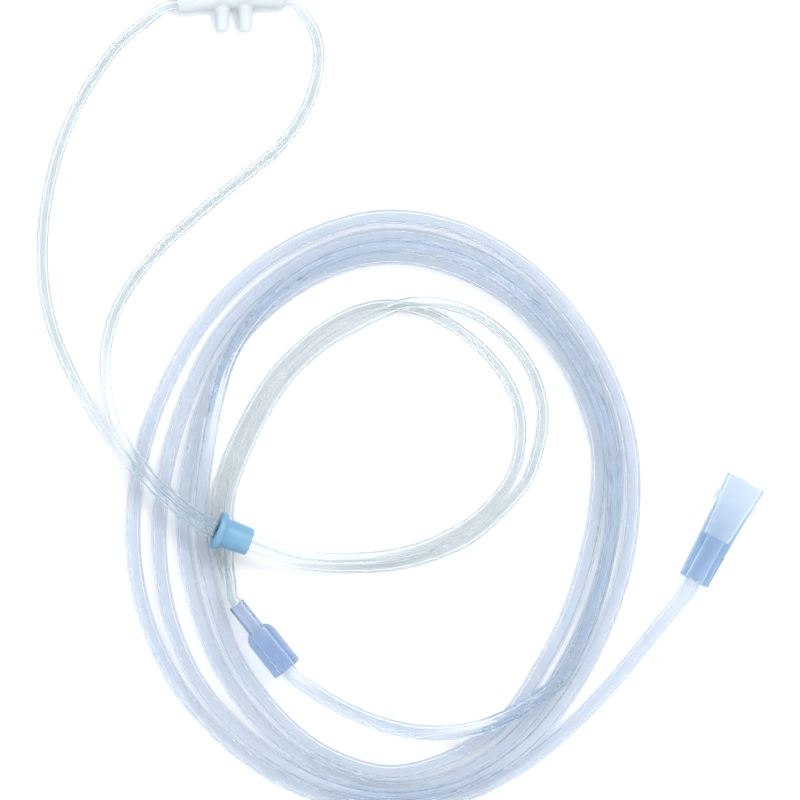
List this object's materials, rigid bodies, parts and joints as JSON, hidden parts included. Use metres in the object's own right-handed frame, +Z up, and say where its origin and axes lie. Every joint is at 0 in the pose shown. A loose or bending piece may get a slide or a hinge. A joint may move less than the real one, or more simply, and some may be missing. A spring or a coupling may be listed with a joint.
{
  "type": "nasal oxygen cannula",
  "caption": "Nasal oxygen cannula laid flat: soft prong piece, thin head tubes through a sliding ring, Y connector, and coiled supply tube with a flared push-on connector.",
  "frame": {"origin": "on the table, under the middle of the box around the prong piece, the slider and the Y connector", "axes": "+Z up from the table; +Y towards the prong piece; +X to the right seen from above with the prong piece at the top"},
  "size_m": [0.2252, 0.2546, 0.017],
  "materials": {
    "soft_pvc": "soft cloudy moulded PVC, faintly blue",
    "head_tube_pvc": "clear extruded PVC, faintly blue, smooth",
    "supply_tube_pvc": "clear extruded PVC with fine lines along it, faintly blue, smooth",
    "slider_plastic": "opaque light blue moulded plastic, satin",
    "y_connector_pvc": "translucent lilac-blue moulded PVC",
    "supply_connector_pvc": "translucent lilac-blue moulded PVC, glossy, fluted tail"
  },
  "bodies": {
    "root": {"nasal_prongs": "soft_pvc", "left_head_tube": "head_tube_pvc", "right_head_tube": "head_tube_pvc", "y_connector": "y_connector_pvc", "supply_tube_lead": "supply_tube_pvc", "supply_tube_coil": "supply_tube_pvc", "supply_tube_tail": "supply_tube_pvc", "supply_connector": "supply_connector_pvc"},
    "slider": {"slider": "slider_plastic"}
  },
  "joints": [
    {"name": "slider_slide", "type": "slide", "parent": "root", "child": "slider", "axis": [0.9221, -0.354, -0.1564], "range_m": [0, 0.01]}
  ]
}
